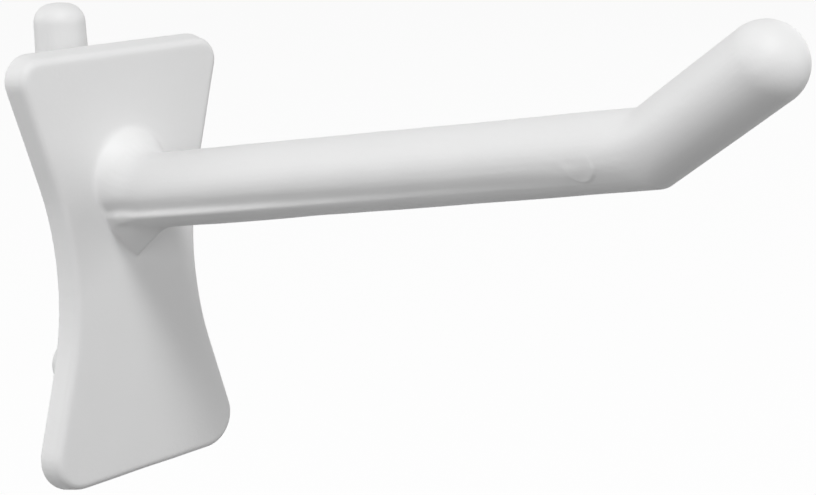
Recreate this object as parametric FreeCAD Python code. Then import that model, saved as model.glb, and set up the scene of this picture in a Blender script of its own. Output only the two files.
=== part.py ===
# A one-piece moulded plastic hook for a perforated board.
# A waisted plate lies against the board. A bent peg and a straight peg behind it go
# through two of the board's holes, and a round arm with an upturned tip stands out in front.
#
# Frame: the origin is on the plate's back face, midway between the two pegs.
# +Y points into the board, +Z points up and the arm points along -Y.
import FreeCAD, Part
import math
import os

from FreeCAD import Placement, Rotation, Vector

# Driving dimensions, in millimetres and degrees

# The board's hole pattern, which sets the distance between the two pegs
peg_spacing = 25.4

# Plate: its outline is an arc at the waist, a straight flare and a round corner, four times over
plate_thickness = 2.6
plate_top = 23.0
plate_bottom = -22.6
waist_height = -0.1
waist_width = 16.8
waist_radius = 34.0
side_flare_angle = 16.1
top_corner_radius = 2.8
bottom_corner_radius = 4.0
side_draft = 0.6
front_edge_radius = 0.9
back_edge_radius = 0.25

# Arm: a tapered rod that rises a little
arm_height = 7.7
arm_tilt = 9.5
arm_length = 66.0
arm_root_radius = 3.82
arm_bend_radius = 3.25

# Lip that runs along each side of the arm, below its middle, where the mould's halves meet
# It starts at a crease, stands out most at its edge, and has faded out at the bend
lip_crease_angle = 24.0
lip_edge_angle = 33.6
lip_reach = 0.32
lip_round = 0.4
bend_crease_angle = 34.5

# Flare that joins the arm to the plate: round above, with the lip at each side and pointed below
# The swell is how far the pointed part's sides stand out from straight lines
# The hollow is 1 for a flare with straight sides along the arm and more for a hollow one
flare_length = 4.8
flare_top = 3.0
flare_side = 0.95
flare_rise = 1.5
flare_bottom = 2.85
flare_crease_angle = 36.5
flare_edge_angle = 43.2
flare_edge_reach = 0.57
flare_swell = 0.2
flare_hollow_above = 2.2
flare_hollow_below = 1.25

# Upturned tip
tip_bend_angle = 26.0
tip_length = 15.3
tip_end_radius = 3.32
tip_round = 3.1

# Bent upper peg
peg_radius = 2.85
board_gap = 5.1
peg_bend_radius = 3.3
upper_peg_rise = 13.9
upper_peg_end_radius = 2.68
upper_peg_round = 2.0

# Straight lower peg
lower_peg_length = 10.6
lower_peg_round = 0.6

# How far a peg runs into the plate before the two become one
overlap = 1.0

# Number of sections that shape the flare
flare_sections = 7

# A rounded end keeps at least this share of its radius as a flat
smallest_flat = 0.03

# How far the middle of the lip's side bulges, so that it is never quite straight
smallest_bulge = 0.02

# Worked-out places
upper_peg_height = peg_spacing / 2
lower_peg_height = -peg_spacing / 2
front_face_y = -plate_thickness


def polar(radius, angle):
    """A point at a distance from the middle, with its angle counted from the +X side."""
    turn = math.radians(angle)
    return Vector(radius * math.cos(turn), radius * math.sin(turn), 0)


def between(first, second, share):
    """The point or size that lies a share of the way from the first to the second."""
    return first * (1 - share) + second * share


def mirrored(point):
    """The same point on the other side of the middle plane."""
    return Vector(-point.x, point.y, point.z)


def edges_in_plane(solid, point, normal):
    """The edges of a solid that lie in the plane through a point, square to a direction."""
    tolerance = 1e-4
    found = []
    for edge in solid.Edges:
        places = [vertex.Point for vertex in edge.Vertexes] + [edge.CenterOfMass]
        if all(abs((place - point).dot(normal)) < tolerance for place in places):
            found.append(edge)
    return found


def rounded_end(solid, centre, direction, radius, rounding):
    """Round the edge around the flat end of a peg or rod."""
    allowed = min(rounding, radius * (1 - smallest_flat))
    return solid.makeFillet(allowed, edges_in_plane(solid, centre, direction))


def plate_side(half_waist, radius, end_height, corner_radius):
    """Points of one side from the waist to one end: the waist's arc, a straight line and the corner.

    Heights are counted from the waist, so the same points serve the upper and the lower half.
    """
    angle = math.radians(side_flare_angle)
    waist = Vector(half_waist, 0, 0)
    arc_middle = Vector(half_waist + radius * (1 - math.cos(angle / 2)), 0, radius * math.sin(angle / 2))
    arc_end = Vector(half_waist + radius * (1 - math.cos(angle)), 0, radius * math.sin(angle))
    corner = Vector(arc_end.x + (end_height - arc_end.z) * math.tan(angle), 0, end_height)
    setback = corner_radius / math.tan((math.pi / 2 - angle) / 2)
    corner_start = corner - Vector(math.sin(angle), 0, math.cos(angle)) * setback
    corner_end = corner - Vector(setback, 0, 0)
    centre = corner_end - Vector(0, 0, corner_radius)
    middle_angle = (math.pi / 2 - angle) / 2
    outward = Vector(math.cos(middle_angle), 0, math.sin(middle_angle))
    corner_middle = centre + outward * corner_radius
    return [waist, arc_middle, arc_end, corner_start, corner_middle, corner_end]


def plate_outline(inset, y):
    """Closed outline of the waisted plate, drawn inwards by an inset, in the plane at y."""
    half_waist = waist_width / 2 - inset
    radius = waist_radius + inset
    upper = plate_side(half_waist, radius, plate_top - inset - waist_height, top_corner_radius - inset)
    lower = plate_side(half_waist, radius, waist_height - plate_bottom - inset, bottom_corner_radius - inset)
    edges = []
    for points, right, up in [(upper, 1, 1), (upper, -1, 1), (lower, -1, -1), (lower, 1, -1)]:
        placed = [Vector(point.x * right, y, waist_height + point.z * up) for point in points]
        waist, arc_middle, arc_end, corner_start, corner_middle, corner_end = placed
        edges.append(Part.Arc(waist, arc_middle, arc_end).toShape())
        edges.append(Part.LineSegment(arc_end, corner_start).toShape())
        edges.append(Part.Arc(corner_start, corner_middle, corner_end).toShape())
        edges.append(Part.LineSegment(corner_end, Vector(0, y, corner_end.z)).toShape())
    return Part.Wire(Part.__sortEdges__(edges))


def plate():
    """The plate: its sides lean in towards the front, and its edges are rounded."""
    back = plate_outline(0, 0)
    front = plate_outline(side_draft, front_face_y)
    body = Part.makeLoft([back, front], True, True)
    into_board = Vector(0, 1, 0)
    body = body.makeFillet(front_edge_radius, edges_in_plane(body, Vector(0, front_face_y, 0), into_board))
    return body.makeFillet(back_edge_radius, edges_in_plane(body, Vector(0, 0, 0), into_board))


def lip_points(crease, edge, half_bottom, bottom):
    """Points of the lower side, from the crease over the lip's rounded edge to the middle of the bottom."""
    down_side = (edge - crease).normalize()
    down_bottom = (half_bottom - edge).normalize()
    turn = down_side.getAngle(down_bottom)
    setback = lip_round * math.tan(turn / 2)
    side_end = edge - down_side * setback
    bottom_start = edge + down_bottom * setback
    inward = (down_bottom - down_side).normalize()
    edge_middle = edge + inward * lip_round * (1 / math.cos(turn / 2) - 1)
    side_middle = between(crease, side_end, 1 / 2) + inward * -smallest_bulge
    return [side_middle, side_end, edge_middle, bottom_start, half_bottom, bottom]


def stretched(shape, across, upward, lift=0):
    """A flat shape stretched by one factor across and another upwards, and then lifted."""
    matrix = FreeCAD.Matrix()
    matrix.scale(across, upward, 1)
    matrix.move(0, lift, 0)
    return shape.transformGeometry(matrix)


def on_ellipse(half_width, half_height, middle, angle):
    """A point of a section's upper ellipse, with its angle counted downwards from the widest place."""
    point = polar(1, -angle)
    return Vector(point.x * half_width, middle + point.y * half_height, 0)


def upper_edges(half_width, half_height, middle, crease_angle):
    """The part of a section from one crease over the top to the other: a circle or an ellipse."""
    is_round = half_width == half_height and middle == 0
    radius = half_width if is_round else 1
    widest = polar(radius, 0)
    beside = polar(radius, -crease_angle / 2)
    crease = polar(radius, -crease_angle)
    arcs = [
        Part.Arc(mirrored(crease), mirrored(beside), mirrored(widest)),
        Part.Arc(mirrored(widest), polar(radius, 90), widest),
        Part.Arc(widest, beside, crease),
    ]
    edges = [arc.toShape() for arc in arcs]
    if is_round:
        return edges
    return [stretched(edge, half_width, half_height, middle) for edge in edges]


def section_wire(half_width, half_height, middle, crease_angle, lower):
    """Closed section: an ellipse from crease to crease over the top, and below it the points given.

    The points are those of the right side, from the crease down to the middle of the bottom.
    """
    crease = on_ellipse(half_width, half_height, middle, crease_angle)
    side, side_end, edge, bottom_start, half_bottom, bottom = lower
    lower_arcs = [
        Part.Arc(crease, side, side_end),
        Part.Arc(side_end, edge, bottom_start),
        Part.Arc(bottom_start, half_bottom, bottom),
        Part.Arc(bottom, mirrored(half_bottom), mirrored(bottom_start)),
        Part.Arc(mirrored(bottom_start), mirrored(edge), mirrored(side_end)),
        Part.Arc(mirrored(side_end), mirrored(side), mirrored(crease)),
    ]
    upper = upper_edges(half_width, half_height, middle, crease_angle)
    return Part.Wire(upper + [arc.toShape() for arc in lower_arcs])


def lip_section(above, below):
    """The section with its lips, and the points of its right side below the crease.

    Above and below are how far the flare has grown over and under the crease: 0 on the arm, and
    1 at the plate. There the upper part is wider, its middle is higher, and the bottom is a point.
    """
    radius = arm_root_radius
    half_width = radius + flare_side * above
    middle = flare_rise * above
    half_height = radius + (flare_top - flare_rise) * above
    crease_angle = between(lip_crease_angle, flare_crease_angle, above)
    crease = on_ellipse(half_width, half_height, middle, crease_angle)
    edge_angle = between(lip_edge_angle, flare_edge_angle, below)
    edge = polar(radius + between(lip_reach, flare_edge_reach, below), -edge_angle)
    bottom = Vector(0, -radius - flare_bottom * below, 0)
    on_circle = polar(radius, -(lip_edge_angle + 90) / 2)
    along = bottom - edge
    outward = Vector(-along.y, along.x, 0).normalize()
    on_point = between(edge, bottom, 1 / 2) + outward * flare_swell
    lower = lip_points(crease, edge, between(on_circle, on_point, below), bottom)
    return section_wire(half_width, half_height, middle, crease_angle, lower), lower


def round_section(radius):
    """The plain round section of the arm at the bend, and of the tip throughout.

    Its points are those of the lip section laid on a circle, so that no surface twists on its way.
    """
    root_points = lip_section(0, 0)[1]
    crowding = (90 - bend_crease_angle) / (90 - lip_crease_angle)
    angles = [math.degrees(math.atan2(-point.y, point.x)) for point in root_points]
    lower = [polar(radius, (90 - angle) * crowding - 90) for angle in angles]
    return section_wire(radius, radius, 0, bend_crease_angle, lower)


def lean_direction(lean):
    """The direction that points away from the plate and rises at an angle."""
    turn = math.radians(lean)
    return Vector(0, -math.cos(turn), math.sin(turn))


def along_arm(distance):
    """The point on the arm's middle line at a distance from the plate's front face."""
    return Vector(0, front_face_y, arm_height) + lean_direction(arm_tilt) * distance


def stand_up(wire, base, lean):
    """Stand a section up at a base point, square to the direction that rises at an angle."""
    placed = wire.copy()
    placed.Placement = Placement(base, Rotation(Vector(1, 0, 0), 90 - lean))
    return placed


def mitre_section():
    """The section where the arm meets the tip, in the plane that halves the bend."""
    half_bend = tip_bend_angle / 2
    ellipse = stretched(round_section(arm_bend_radius), 1, 1 / math.cos(math.radians(half_bend)))
    return stand_up(ellipse, along_arm(arm_length), arm_tilt + half_bend)


def flare():
    """The flare between the plate and the arm; it leans over from the plate to the arm's tilt."""
    sections = []
    for number in range(flare_sections):
        share = number / (flare_sections - 1)
        above = (1 - share) ** flare_hollow_above
        below = (1 - share) ** flare_hollow_below
        section = lip_section(above, below)[0]
        sections.append(stand_up(section, along_arm(flare_length * share), arm_tilt * share))
    return Part.makeLoft(sections, True, False)


def arm():
    """The arm from the flare to the bend; its lips run out into the round rod on the way."""
    root = stand_up(lip_section(0, 0)[0], along_arm(flare_length), arm_tilt)
    return Part.makeLoft([root, mitre_section()], True, True)


def tip():
    """The upturned tip: a round rod from the bend to a domed end."""
    lean = arm_tilt + tip_bend_angle
    end = along_arm(arm_length) + lean_direction(lean) * tip_length
    end_section = stand_up(round_section(tip_end_radius), end, lean)
    rod = Part.makeLoft([mitre_section(), end_section], True, True)
    return rounded_end(rod, end, lean_direction(lean), tip_end_radius, tip_round)


def upper_peg():
    """The bent peg, in three lengths: straight through the board, round a bend and up behind it."""
    axis_y = board_gap + peg_radius
    start = Vector(0, -overlap, upper_peg_height)
    bend_start = Vector(0, axis_y - peg_bend_radius, upper_peg_height)
    through = Part.makeCylinder(peg_radius, bend_start.y - start.y, start, Vector(0, 1, 0))
    disc = Part.Face(Part.Wire(Part.makeCircle(peg_radius, bend_start, Vector(0, 1, 0))))
    bend_centre = bend_start + Vector(0, 0, peg_bend_radius)
    bend = disc.revolve(bend_centre, Vector(1, 0, 0), 90)
    upward = Vector(0, 0, 1)
    rise_start = Vector(0, axis_y, upper_peg_height + peg_bend_radius)
    rise_length = upper_peg_rise - peg_bend_radius
    rise = Part.makeCone(peg_radius, upper_peg_end_radius, rise_length, rise_start, upward)
    top = rise_start + upward * rise_length
    rise = rounded_end(rise, top, upward, upper_peg_end_radius, upper_peg_round)
    return [through, bend, rise]


def lower_peg():
    """The straight peg, which steadies the plate in the hole below."""
    into_board = Vector(0, 1, 0)
    start = Vector(0, -overlap, lower_peg_height)
    peg = Part.makeCylinder(peg_radius, overlap + lower_peg_length, start, into_board)
    end = Vector(0, lower_peg_length, lower_peg_height)
    return rounded_end(peg, end, into_board, peg_radius, lower_peg_round)


def hook():
    """All the features as one solid, as the mould makes it."""
    features = [flare(), arm(), tip(), lower_peg()] + upper_peg()
    return plate().fuse(features).removeSplitter()


os.makedirs("parts", exist_ok=True)
body = hook()
body.exportStep("parts/hook.step")
print("solids", len(body.Solids), "valid", body.isValid(), "volume", round(body.Volume, 1))
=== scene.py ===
# %% [markdown]
# # A pegboard hook in white plastic
#
# The object is one moulded piece. A waisted plate lies against a perforated board, two pegs
# behind it go into the board's holes, and a round arm with an upturned tip carries the tool.
#
# A CAD model of the hook already exists, and this lesson dresses it. We load it as a fixed
# frame, in metres, and never move it. +Y goes into the board, +Z is up, and the arm points
# along -Y.

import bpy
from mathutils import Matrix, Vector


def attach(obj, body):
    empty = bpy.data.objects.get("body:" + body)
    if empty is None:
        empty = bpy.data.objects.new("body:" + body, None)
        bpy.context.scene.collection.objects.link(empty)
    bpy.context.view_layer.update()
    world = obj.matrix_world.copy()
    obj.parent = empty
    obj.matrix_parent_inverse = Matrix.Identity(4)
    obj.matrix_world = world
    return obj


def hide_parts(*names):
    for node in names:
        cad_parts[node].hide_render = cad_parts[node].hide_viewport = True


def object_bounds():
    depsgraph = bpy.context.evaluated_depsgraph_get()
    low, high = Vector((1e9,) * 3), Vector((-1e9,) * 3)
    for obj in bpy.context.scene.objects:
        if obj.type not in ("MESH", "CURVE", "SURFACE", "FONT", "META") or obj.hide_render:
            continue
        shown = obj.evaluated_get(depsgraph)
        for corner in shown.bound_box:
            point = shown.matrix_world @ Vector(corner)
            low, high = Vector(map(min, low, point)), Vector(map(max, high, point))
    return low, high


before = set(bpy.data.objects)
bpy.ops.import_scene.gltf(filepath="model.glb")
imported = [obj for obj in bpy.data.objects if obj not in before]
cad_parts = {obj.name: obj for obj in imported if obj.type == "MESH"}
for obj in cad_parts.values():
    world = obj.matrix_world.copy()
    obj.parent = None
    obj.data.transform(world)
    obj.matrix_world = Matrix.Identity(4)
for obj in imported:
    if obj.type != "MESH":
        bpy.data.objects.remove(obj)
cad_low, cad_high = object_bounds()
MM = 0.001
print("CAD box in mm:", [round(side / MM, 2) for side in cad_high - cad_low])

# %% [markdown]
# ## Tools and units
#
# Blender's own modules build the objects and the materials, and numpy works on all points of a
# mesh at once. A hook is drawn in millimetres and Blender counts in metres. So the hook's
# lengths are millimetres times MM, and its points are kept in millimetres while we shape them.
# The lamps and the floor are large and stay in metres.

# %% The tools that the lesson uses
import math

import bpy
import numpy as np
from mathutils import Matrix, Vector

hook_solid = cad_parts["hook"]
print("the hook has", len(hook_solid.data.polygons), "faces")

# %% [markdown]
# ## The moulded skin
#
# The CAD solid has its fillets, but the creases along the arm, at the bend and at the flare are
# sharp, and a mould never leaves them so. We could bevel those edges one by one. A simpler way
# is to copy the mesh, let a voxel remesh lay an even net over it, and smooth the net: each
# smoothing step rounds the creases a little more. The same even net then has points enough to
# carry the small marks that moulding leaves.

# %% Lay an even net over a copy of the solid
NET_STEP = 0.15 * MM
SOFTENING_STEPS = 3
SOFTENING_SHARE = 0.5


def solid_copy(solid, name):
    """A separate object with a copy of a solid's mesh."""
    piece = bpy.data.objects.new(name, solid.data.copy())
    bpy.context.scene.collection.objects.link(piece)
    return piece


def apply_modifiers(piece):
    """Replace the piece's mesh by the one its modifiers give."""
    shown = piece.evaluated_get(bpy.context.evaluated_depsgraph_get())
    made = bpy.data.meshes.new_from_object(shown)
    piece.modifiers.clear()
    piece.data = made


def add_softening(piece, name, steps):
    """Add a modifier that moves points part of the way to the middle of their neighbours."""
    soften = piece.modifiers.new(name, "SMOOTH")
    soften.factor = SOFTENING_SHARE
    soften.iterations = steps
    return soften


def lay_net(piece, step, softening):
    """Remesh the piece with even faces and soften its creases."""
    net = piece.modifiers.new("net", "REMESH")
    net.mode = "VOXEL"
    net.voxel_size = step
    add_softening(piece, "soften", softening)
    apply_modifiers(piece)


hook_skin = solid_copy(hook_solid, "hook_skin")
lay_net(hook_skin, NET_STEP, SOFTENING_STEPS)
print("the net has", len(hook_skin.data.vertices), "points")

# %% [markdown]
# ## Soften the join between plate and flare
#
# In the photograph the flare above the lip melts into the plate, while its pointed lower end stays
# crisp. So we smooth only a ring of the net round the flare's foot, many more times. Smoothing a
# hollow corner fills it a little, which is just what a small fillet does.

# %% Smooth a ring round the flare's foot
FOOT_CENTRE = (0.0, -2.6, 9.2)
FOOT_HALF_WIDTH, FOOT_HALF_HEIGHT = 4.77, 5.32
FOOT_RING, FOOT_DEPTH, FOOT_LOW_END = 0.2, 1.2, 5.9
FOOT_SMOOTHING = 25


def round_the_foot(vertex):
    """Whether a point of the net lies in the ring round the flare's foot."""
    place = vertex.co / MM - Vector(FOOT_CENTRE)
    share = math.hypot(place.x / FOOT_HALF_WIDTH, place.z / FOOT_HALF_HEIGHT)
    above_lip = vertex.co.z / MM > FOOT_LOW_END
    return above_lip and abs(place.y) < FOOT_DEPTH and abs(share - 1) < FOOT_RING


def soften_part(piece, name, chosen, steps):
    """Smooth only the chosen points of a piece."""
    group = piece.vertex_groups.new(name=name)
    group.add(chosen, 1.0, "REPLACE")
    add_softening(piece, name, steps).vertex_group = name
    apply_modifiers(piece)
    piece.vertex_groups.clear()


foot = [vertex.index for vertex in hook_skin.data.vertices if round_the_foot(vertex)]
soften_part(hook_skin, "foot", foot, FOOT_SMOOTHING)
print("smoothed", len(foot), "points round the foot")

# %% [markdown]
# ## The net as arrays
#
# From here on, each point of the net gets a height: how far it moves out along its normal. A
# Displace modifier could do that from a texture, but our heights follow from measured places on
# the hook. So we copy the places and the normals into arrays and add up the heights there.

# %% Read the net as arrays
def vectors_of(items, name):
    """One vector of every vertex or normal as the rows of an array."""
    flat = np.empty(3 * len(items))
    items.foreach_get(name, flat)
    return flat.reshape(-1, 3)


places_mm = vectors_of(hook_skin.data.vertices, "co") / MM
normals = vectors_of(hook_skin.data.vertex_normals, "vector")
print("the net reaches from", places_mm.min(axis=0).round(2), "to", places_mm.max(axis=0).round(2))

# %% [markdown]
# ## An uneven skin
#
# Real moulded plastic is never quite flat: it sinks a little where it is thick, and near the bend
# it has a rougher patch. A bump map could fake both, but it would not change the outline. The net
# is fine enough to carry them as real shape, a few hundredths of a millimetre high. The height is
# a sum of plane waves in random directions, and a fixed seed makes them the same each time.

# %% Work out how uneven the skin is
UNEVEN_LENGTH, UNEVEN_HEIGHT, UNEVEN_SEED = 6.0, 0.012, 1
SINK_LENGTH, SINK_HEIGHT, SINK_SEED = 17.0, 0.020, 2
PATCH_LENGTH, PATCH_HEIGHT, PATCH_SEED = 1.1, 0.020, 3
PATCH_CENTRE, PATCH_RADIUS = (-3.15, -61.4, 16.5), 2.4
WAVE_COUNT = 14
LENGTH_SPREAD = (0.7, 1.3)


def waves(places, length, seed):
    """A soft random height at each place, mostly from -1 to 1, that rolls about once in the length."""
    random = np.random.default_rng(seed)
    directions = random.normal(size=(WAVE_COUNT, 3))
    directions /= np.linalg.norm(directions, axis=1, keepdims=True)
    turns = 2 * math.pi / length * random.uniform(*LENGTH_SPREAD, (WAVE_COUNT, 1))
    phases = random.uniform(0, 2 * math.pi, WAVE_COUNT)
    return np.sin(places @ (directions * turns).T + phases).sum(axis=1) / math.sqrt(WAVE_COUNT)


def nearness(places, centre, radius):
    """1 at a centre, falling softly to 0 a radius away."""
    share = np.linalg.norm(places - np.array(centre), axis=1) / radius
    return np.clip(1 - share ** 2, 0, 1) ** 2


height = UNEVEN_HEIGHT * waves(places_mm, UNEVEN_LENGTH, UNEVEN_SEED)
height += SINK_HEIGHT * waves(places_mm, SINK_LENGTH, SINK_SEED)
patch = PATCH_HEIGHT * waves(places_mm, PATCH_LENGTH, PATCH_SEED)
height += patch * nearness(places_mm, PATCH_CENTRE, PATCH_RADIUS)
print("uneven by", round(1000 * float(height.std())), "thousandths of a millimetre")

# %% [markdown]
# ## The round mark near the bend
#
# On the arm's near side, just before the bend, the light catches part of a ring, like the edge of
# a shallow round dish that a pin of the mould could leave. Its rim stands out most at the lower
# end. We shape it from the distance to the dish's middle: a rise towards the rim and a short step
# down outside it.

# %% Add the round mark
MARK_CENTRE = (-3.21, -62.95, 17.04)
MARK_RADIUS, MARK_STEP, MARK_HEIGHT = 1.3, 0.3, 0.11
MARK_LOW_SIDE = (0.35, -0.50, -0.79)
MARK_EVEN_SHARE = 0.35


def round_mark(places):
    """Height of the dish and its rim at each place."""
    away = places - np.array(MARK_CENTRE)
    distance = np.linalg.norm(away, axis=1)
    inside = np.clip(distance / MARK_RADIUS, 0, 1) ** 3
    outside = np.clip(1 - (distance - MARK_RADIUS) / MARK_STEP, 0, 1)
    low_side = away @ np.array(MARK_LOW_SIDE) / np.maximum(distance, MARK_STEP)
    strength = np.clip(MARK_EVEN_SHARE + (1 - MARK_EVEN_SHARE) * low_side, 0, 1)
    return MARK_HEIGHT * inside * outside ** 2 * strength


mark = round_mark(places_mm)
height += mark
print("the mark stands", round(float(mark.max()), 3), "mm high")

# %% [markdown]
# ## Deepen the groove above the lip
#
# A lip runs along each side of the arm. In the photograph the surface above it dips in, so a dark
# groove lies over a bright lip. The solid has the lip but not the dip. We measure how far each
# point lies from the lip's crease, and push it in or out by a smooth curve of that distance. The
# crease is given for the near side only, and the far side is measured as its mirror image.

# %% Measure how far each point lies below the crease
CREASE = ((-3.90, -2.6, 6.30), (-3.68, -5.1, 6.85), (-3.50, -7.6, 7.05), (-2.55, -68.4, 16.60))


def near_side(places):
    """The places, with those on the far side mirrored to the near side."""
    return np.column_stack((-np.abs(places[:, 0]), places[:, 1:]))


def below_line(places, line):
    """How far each place lies from a line of points, counted as positive below the line."""
    closest = np.full(len(places), np.inf)
    below = np.zeros(len(places))
    for start, end in zip(np.array(line[:-1]), np.array(line[1:])):
        run = end - start
        share = np.clip((places - start) @ run / (run @ run), 0, 1)
        away = places - (start + share[:, None] * run)
        distance = np.linalg.norm(away, axis=1)
        nearer = distance < closest
        closest = np.where(nearer, distance, closest)
        below = np.where(nearer, -np.sign(away[:, 2]) * distance, below)
    return below


below_crease = below_line(near_side(places_mm), CREASE)
print("points less than 1 mm from the crease:", int((np.abs(below_crease) < 1).sum()))

# %% Work out the groove
FLARE_END, BEND_START, PLATE_FACE = -7.6, -68.4, -2.6
PLATE_FADE = 0.5
GROOVE_DEPTH, FLARE_GROOVE_DEPTH = 0.16, 0.20
GROOVE_WIDTH_ABOVE, GROOVE_WIDTH_BELOW = 0.85, 0.55
WIDEST_FROM = 0.25
LIP_HEIGHT, LIP_PLACE, LIP_WIDTH = 0.06, 0.75, 0.35


def bell(distance, width):
    """1 at no distance, falling smoothly to almost 0 at twice the width."""
    return np.exp(-(distance / width) ** 2)


def off_the_plate(places):
    """0 on the plate's face, rising to 1 a short way in front of it."""
    return np.clip((PLATE_FACE - places[:, 1]) / PLATE_FADE, 0, 1)


def groove(places, below):
    """Height of the groove and its lip, from each place and how far it lies below the crease."""
    left = np.clip((places[:, 1] - BEND_START) / (FLARE_END - BEND_START), 0, 1)
    width_below = GROOVE_WIDTH_BELOW / np.sqrt(np.maximum(left, WIDEST_FROM))
    width = np.where(below < 0, GROOVE_WIDTH_ABOVE, width_below)
    depth = np.where(places[:, 1] > FLARE_END, FLARE_GROOVE_DEPTH, GROOVE_DEPTH * np.sqrt(left))
    shape = LIP_HEIGHT * left ** 2 * bell(below - LIP_PLACE, LIP_WIDTH) - depth * bell(below, width)
    return shape * off_the_plate(places)


dip = groove(places_mm, below_crease)
height += dip
print("the groove is", round(-float(dip.min()), 2), "mm deep")

# %% [markdown]
# ## The lip's end and the hollow under it
#
# In the photograph the lip ends beside the plate in a small light swelling, and the pointed flare
# under it is darkest on its left, as if it dipped in there. Sculpting by hand could make both,
# but would come out differently each time. So each is one round bump or dip, worked out from the
# distance to its middle on the near side, with its mirror image on the far side.

# %% Swell the lip's end and hollow the flare under it
LIP_END, LIP_END_WIDTH, LIP_END_HEIGHT = (-3.45, -4.4, 5.65), 0.75, 0.12
HOLLOW_CENTRE, HOLLOW_WIDTH, HOLLOW_DEPTH = (-2.6, -4.2, 4.6), 0.9, 0.14


def round_bump(places, centre, width):
    """1 at a centre and at its mirror image, falling smoothly to 0 round them."""
    return bell(np.linalg.norm(near_side(places) - np.array(centre), axis=1), width)


def flare_marks(places):
    """Height of the lip's swollen end and the hollow below it, both clear of the plate."""
    swelling = LIP_END_HEIGHT * round_bump(places, LIP_END, LIP_END_WIDTH)
    hollow = HOLLOW_DEPTH * round_bump(places, HOLLOW_CENTRE, HOLLOW_WIDTH)
    return (swelling - hollow) * off_the_plate(places)


swell_and_hollow = flare_marks(places_mm)
height += swell_and_hollow
print("the hollow is", round(-float(swell_and_hollow.min()), 2), "mm deep")

# %% [markdown]
# ## Round the bend
#
# In the solid, the arm and the tip are two straight rods that meet on one plane, so the near side
# would show a hard line there. The moulded bend keeps its corner at the top and the bottom but
# turns softly at the sides. A corner is an absolute value, |s|, of the distance s along the rod;
# the usual soft version replaces it by a parabola near zero. The difference between the two,
# times half the change of direction, is how far each point has to move.

# %% Work out how far each point near the bend moves
BEND = np.array((0.0, -67.7, 18.59))
ARM_RISE, TIP_RISE = 9.5, 35.5
SOFT_AT_SIDES, SOFT_AT_TOP = 3.6, 0.15


def rising(degrees):
    """The direction along the arm's side of the hook that rises by an angle."""
    return np.array((0.0, -math.cos(math.radians(degrees)), math.sin(math.radians(degrees))))


def bend_shift(places):
    """The move that turns the sharp bend into a soft one."""
    half_turn = math.radians(TIP_RISE - ARM_RISE) / 2
    middle_rise = (ARM_RISE + TIP_RISE) / 2
    away = places - BEND
    along = np.abs(away @ rising(middle_rise)) / math.cos(half_turn)
    above = away @ rising(middle_rise + 90) - along * math.sin(half_turn)
    sideways = away[:, 0] ** 2 / (away[:, 0] ** 2 + above ** 2)
    reach = SOFT_AT_TOP + SOFT_AT_SIDES * sideways ** 2
    rounding = reach / 4 * np.clip(1 - along / reach, 0, 1) ** 2
    return rounding[:, None] * (rising(TIP_RISE) - rising(ARM_RISE))


shift = bend_shift(places_mm)
print("the bend moves by up to", round(float(np.linalg.norm(shift, axis=1).max()), 2), "mm")

# %% [markdown]
# ## Move the points
#
# The skin must stay inside the solid's box. Its waves rise as often as they sink, so the whole
# skin is also lowered by as much as they usually rise, and then every point moves at once.

# %% Move the net's points
def move_points(piece, places, directions, distance):
    """Move every point of the piece along its direction."""
    moved = places + directions * distance[:, None]
    piece.data.vertices.foreach_set("co", (moved * MM).ravel())
    piece.data.update()


wave_top = UNEVEN_HEIGHT + SINK_HEIGHT
move_points(hook_skin, places_mm + shift, normals, height - wave_top)
print("moved the net inwards by", round(float((wave_top - height).mean()), 3), "mm on average")

# %% [markdown]
# ## Thin the net out
#
# The net is as fine on the flat plate as it is in the creases, which wastes faces. A Decimate
# modifier merges the points that the shape needs least, so the flats lose most of them.

# %% Thin the net
MOST_TRIANGLES = 190_000


def triangle_count(piece):
    """How many triangles the piece's faces make."""
    piece.data.calc_loop_triangles()
    return len(piece.data.loop_triangles)


def thin_net(piece, most):
    """Merge the points that matter least until the piece has few enough triangles."""
    thin = piece.modifiers.new("thin", "DECIMATE")
    thin.ratio = most / triangle_count(piece)
    apply_modifiers(piece)
    piece.data.shade_smooth()


thin_net(hook_skin, MOST_TRIANGLES)
print("the thinned net has", triangle_count(hook_skin), "triangles")

# %% [markdown]
# ## The skin stands for the solid
#
# The frame has to know which solid a piece dresses, which body it moves with and what it is made
# of. The hook is one moulding. So its skin replaces the whole solid, rides on the only body, and
# has one slot for its plastic.

# %% Let the skin stand for the solid
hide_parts("hook")
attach(hook_skin, "root")
print("hook_skin stands for the hook")

# %% [markdown]
# ## Shader maths as plain sums
#
# A material is a tree of nodes. To write one as a sum, we wrap a node's output in a small class
# whose operators add Math nodes. Any other node comes from one method, `node`, which sets the
# node's settings first and its inputs afterwards.

# %% A class for shader sums


class Reading:
    """The output of a shader node, used like a number."""

    def __init__(self, socket):
        self.socket = socket
        self.tree = socket.id_data

    @staticmethod
    def node(tree, kind, settings=None, inputs=None, output=0):
        """Add a node, set it up, feed it and give one of its outputs."""
        made = tree.nodes.new(kind)
        for name, value in (settings or {}).items():
            setattr(made, name, value)
        for name, value in (inputs or {}).items():
            if isinstance(value, Reading):
                tree.links.new(value.socket, made.inputs[name])
            else:
                made.inputs[name].default_value = value
        return Reading(made.outputs[output]) if made.outputs else None

    def sum_of(self, operation, first, second):
        """Add a Math node for two numbers or readings."""
        return Reading.node(self.tree, "ShaderNodeMath", {"operation": operation}, {0: first, 1: second})

    def __add__(self, other):
        return self.sum_of("ADD", self, other)

    def __sub__(self, other):
        return self.sum_of("SUBTRACT", self, other)

    def __mul__(self, other):
        return self.sum_of("MULTIPLY", self, other)

    def __radd__(self, other):
        return self.sum_of("ADD", other, self)

    def __rsub__(self, other):
        return self.sum_of("SUBTRACT", other, self)

    def __rmul__(self, other):
        return self.sum_of("MULTIPLY", other, self)


print("operators:", [name for name in vars(Reading) if name.startswith("__r")])

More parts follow.
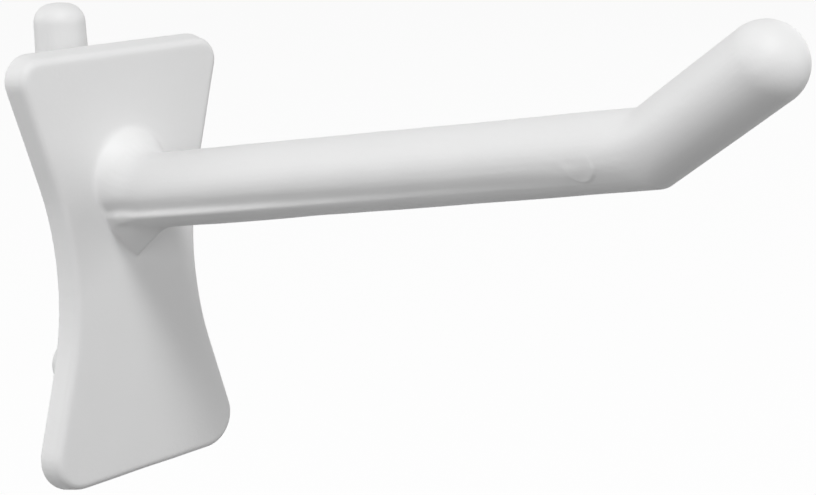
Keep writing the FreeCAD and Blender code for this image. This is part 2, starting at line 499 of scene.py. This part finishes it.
# %% [markdown]
# ## Materials and colours
#
# The plastic and the floor both start from an empty tree and both mix two colours, so each of
# these gets a function. A Math node would turn a colour grey, so colours go through a Mix node.
# That node has sockets for numbers, vectors and colours side by side under the same names, which
# is why its colour sockets are picked by their place.

# %% Start a material and mix two colours
MIX_FIRST, MIX_SECOND, MIX_RESULT = 6, 7, 2
PURE_WHITE = (1, 1, 1, 1)


def new_tree(name):
    """A material with an empty node tree."""
    material = bpy.data.materials.new(name)
    material.use_nodes = True
    material.node_tree.nodes.clear()
    return material, material.node_tree


def mixed_colour(tree, share, first, second):
    """The first colour where the share is 0, turning into the second where it is 1."""
    return Reading.node(tree, "ShaderNodeMix", {"data_type": "RGBA"},
                        {"Factor": share, MIX_FIRST: first, MIX_SECOND: second}, output=MIX_RESULT)


print("a Mix node's colours go into sockets", MIX_FIRST, "and", MIX_SECOND)

# %% [markdown]
# ## White plastic
#
# The plastic is white with a satin shine. What makes it look moulded is that nothing on it is
# quite even: the mould's steel has a fine grain, the shine changes a little from place to
# place, and the surface rolls very gently where the plastic shrank.

# %% Mix the plastic
PLASTIC_WHITE = (0.86, 0.86, 0.86, 1.0)
PLASTIC_DULL_WHITE = (0.84, 0.84, 0.84, 1.0)
SHINE_SIZE, GRAIN_SIZE, ROLL_SIZE = 9 * MM, 0.35 * MM, 2.5 * MM
LEAST_ROUGHNESS, SHINE_ROUGHNESS, GRAIN_ROUGHNESS = 0.44, 0.10, 0.05
GRAIN_BUMP, ROLL_BUMP = 0.03, 0.03
BUMP_STRENGTH, BUMP_DISTANCE = 0.35, 1 * MM
PLASTIC_IOR = 1.49


def noise(tree, place, size, detail=2.0):
    """Soft random patches about as large as the size given, from 0 to 1."""
    return Reading.node(tree, "ShaderNodeTexNoise", {"noise_dimensions": "3D"},
                        {"Vector": place, "Scale": 1 / size, "Detail": detail})


def white_plastic():
    """Satin white plastic with a fine mould grain."""
    material, tree = new_tree("white_plastic")
    place = Reading.node(tree, "ShaderNodeTexCoord", output="Object")
    shine = noise(tree, place, SHINE_SIZE)
    grain = noise(tree, place, GRAIN_SIZE)
    roll = noise(tree, place, ROLL_SIZE)
    colour = mixed_colour(tree, shine, PLASTIC_WHITE, PLASTIC_DULL_WHITE)
    roughness = LEAST_ROUGHNESS + SHINE_ROUGHNESS * shine + GRAIN_ROUGHNESS * grain
    bumps = {"Strength": BUMP_STRENGTH, "Distance": BUMP_DISTANCE,
             "Height": grain * GRAIN_BUMP + roll * ROLL_BUMP}
    normal = Reading.node(tree, "ShaderNodeBump", inputs=bumps)
    finish = {"Base Color": colour, "Roughness": roughness, "Normal": normal, "IOR": PLASTIC_IOR}
    surface = Reading.node(tree, "ShaderNodeBsdfPrincipled", inputs=finish)
    Reading.node(tree, "ShaderNodeOutputMaterial", inputs={"Surface": surface})
    return material


hook_skin.data.materials.clear()
hook_skin.data.materials.append(white_plastic())
print("materials on the hook:", [material.name for material in hook_skin.data.materials])

# %% [markdown]
# ## Floor and backdrop
#
# The photograph shows the hook on plain white. The floor is a pale plane under the hook. Seen
# straight on or in a reflection it is nearly white, and a small share of it takes light and
# shadow as a real floor does. A Mix Shader blends the two; its shader sockets share one name, so
# they are picked by their place too.

# %% Lay the floor
FLOOR_DROP = 60 * MM
FLOOR_HALF_WIDTH = 3.0
FLOOR_CORNERS = ((-1, -1), (1, -1), (1, 1), (-1, 1))
SHADOW_SHARE = 0.08
FLOOR_GLOW = 1.02
FLOOR_WHITE = (0.9, 0.9, 0.9, 1)
FLOOR_BOUNCE = (0.2, 0.2, 0.2, 1)


def seen_directly(tree):
    """1 for rays that come from the camera, a reflection or a clear material, else 0."""
    path = Reading.node(tree, "ShaderNodeLightPath", output="Is Camera Ray")
    outputs = path.socket.node.outputs
    seen = path + Reading(outputs["Is Glossy Ray"]) + Reading(outputs["Is Transmission Ray"])
    return Reading.node(tree, "ShaderNodeClamp", inputs={"Value": seen})


def pale_floor_material():
    """A floor that looks white, keeps a faint shadow and throws little light back up."""
    material, tree = new_tree("pale_floor")
    seen = seen_directly(tree)
    colour = mixed_colour(tree, seen, FLOOR_BOUNCE, FLOOR_WHITE)
    lit = Reading.node(tree, "ShaderNodeBsdfDiffuse", inputs={"Color": colour})
    glow = {"Color": PURE_WHITE, "Strength": FLOOR_GLOW}
    white = Reading.node(tree, "ShaderNodeEmission", inputs=glow)
    blend = {0: seen * (1 - SHADOW_SHARE), 1: lit, 2: white}
    surface = Reading.node(tree, "ShaderNodeMixShader", inputs=blend)
    Reading.node(tree, "ShaderNodeOutputMaterial", inputs={"Surface": surface})
    return material


def pale_floor(level):
    """A wide square floor at a level."""
    corners = [(x * FLOOR_HALF_WIDTH, y * FLOOR_HALF_WIDTH, level) for x, y in FLOOR_CORNERS]
    mesh = bpy.data.meshes.new("pale_floor")
    mesh.from_pydata(corners, [], [(0, 1, 2, 3)])
    mesh.materials.append(pale_floor_material())
    floor = bpy.data.objects.new("pale_floor", mesh)
    bpy.context.scene.collection.objects.link(floor)
    return floor


floor = pale_floor(cad_low.z - FLOOR_DROP)
print("floor at", round(floor.data.vertices[0].co.z / MM, 1), "mm")

# %% [markdown]
# ## Lamps
# The arm throws a shadow on the plate, down and to the right. Its edge is soft but not wide, so
# two small lamps and a wider one hang high up and a little to the left. A ring of large, weak
# lamps lights the sides. Guessing eight powers by eye takes long. Most of these were found by
# rendering the hook with one lamp at a time, weighing the pictures against the photograph by
# least squares, and then correcting a few.

# %% Hang the lamps
OVERHEAD = {
    "overhead_left": {"azimuth": -30, "elevation": 50, "distance": 0.7, "size": 0.12, "power": 0.95},
    "overhead_right": {"azimuth": -22, "elevation": 52, "distance": 0.7, "size": 0.12, "power": 0.46},
    "overhead_wide": {"azimuth": -28, "elevation": 56, "distance": 0.9, "size": 0.25, "power": 1.25},
}
RING_ELEVATION, RING_DISTANCE, RING_SIZE = 15, 0.9, 0.5
RING_AZIMUTHS = {"camera_side": -60, "front_right": 30, "right": 90, "left": -120, "left_back": -150}
RING_POWERS = {"camera_side": 1.92, "front_right": 1.6, "right": 0.9, "left": 1.13, "left_back": 1.81}


def toward(azimuth, elevation):
    """The direction from the hook at an elevation and an azimuth, counted from the arm's side."""
    turn, rise = math.radians(azimuth), math.radians(elevation)
    return Vector((math.sin(turn) * math.cos(rise), -math.cos(turn) * math.cos(rise), math.sin(rise)))


def area_light(name, azimuth, elevation, distance, size, power):
    """A square soft light that faces the hook."""
    data = bpy.data.lights.new(name, "AREA")
    data.size = size
    data.energy = power
    light = bpy.data.objects.new(name, data)
    light.location = toward(azimuth, elevation) * distance
    light.rotation_euler = toward(azimuth, elevation).to_track_quat("Z", "Y").to_euler()
    bpy.context.scene.collection.objects.link(light)
    return light


for name, setting in OVERHEAD.items():
    area_light(name, **setting)
for name, azimuth in RING_AZIMUTHS.items():
    area_light(name, azimuth, RING_ELEVATION, RING_DISTANCE, RING_SIZE, RING_POWERS[name])

# %% [markdown]
# ## World
#
# Light also comes off the walls of a studio. Lamps all round could stand for them, but a pale
# world does it alone. It fills the shadows with little light and still looks pure white behind
# the hook.

# %% Fill the shadows
WORLD_FILL = 0.20


def world_fill(strength):
    """A white world that fills the shadows, and looks pure white itself."""
    world = bpy.data.worlds.new("studio")
    world.use_nodes = True
    tree = world.node_tree
    tree.nodes.clear()
    level = strength + seen_directly(tree) * (1 - strength)
    glow = Reading.node(tree, "ShaderNodeBackground", inputs={"Color": PURE_WHITE, "Strength": level})
    Reading.node(tree, "ShaderNodeOutputWorld", inputs={"Surface": glow})
    bpy.context.scene.world = world


world_fill(WORLD_FILL)
print("the world fills the shadows with", WORLD_FILL, "of white")

# %% [markdown]
# ## Camera
#
# The camera stands close, in front and to the left of the hook, a little above it. Its place
# was found by laying the CAD outline over the photograph: the middle of the arm's root lies at
# a known pixel, at a known distance.

# %% Work out the camera's directions
VIEW_AZIMUTH, VIEW_ELEVATION, VIEW_ROLL = -45.980, 13.020, 1.883


def photo_axes():
    """The camera's directions to the right, up and back in the photograph."""
    roll = math.radians(VIEW_ROLL)
    back = toward(VIEW_AZIMUTH, VIEW_ELEVATION)
    level_right = Vector((0, 0, 1)).cross(back).normalized()
    level_up = back.cross(level_right)
    right = math.cos(roll) * level_right - math.sin(roll) * level_up
    up = math.sin(roll) * level_right + math.cos(roll) * level_up
    return right, up, back


right, up, back = photo_axes()
print("the camera looks along", [round(-part, 3) for part in back])

# %% Place the camera
IMAGE_WIDTH, IMAGE_HEIGHT = 816, 495
ARM_ROOT = Vector((0, -2.6, 7.7)) * MM
ARM_ROOT_PIXEL = (133.01, 192.63)
DISTANCE = 181.8 * MM
PIXELS_PER_MM = 9.773
SENSOR = 36.0
CLIP_START = 10 * MM


def photo_camera():
    """A camera with the photograph's view of the hook."""
    focal = PIXELS_PER_MM * DISTANCE / MM
    across = (ARM_ROOT_PIXEL[0] - IMAGE_WIDTH / 2) / focal * DISTANCE
    down = (ARM_ROOT_PIXEL[1] - IMAGE_HEIGHT / 2) / focal * DISTANCE
    place = ARM_ROOT + back * DISTANCE - right * across + up * down
    data = bpy.data.cameras.new("photo_camera")
    data.sensor_width = SENSOR
    data.lens = focal * SENSOR / IMAGE_WIDTH
    data.clip_start = CLIP_START
    camera = bpy.data.objects.new("photo_camera", data)
    turn = Matrix((right, up, back)).transposed()
    camera.matrix_world = Matrix.Translation(place) @ turn.to_4x4()
    bpy.context.scene.collection.objects.link(camera)
    return camera


camera = photo_camera()
bpy.context.scene.camera = camera
bpy.context.scene.view_settings.view_transform = "Standard"
print("lens", round(camera.data.lens, 1), "mm")

# %% [markdown]
# ## Sizes
#
# The skin has to stay inside the CAD solid's box.
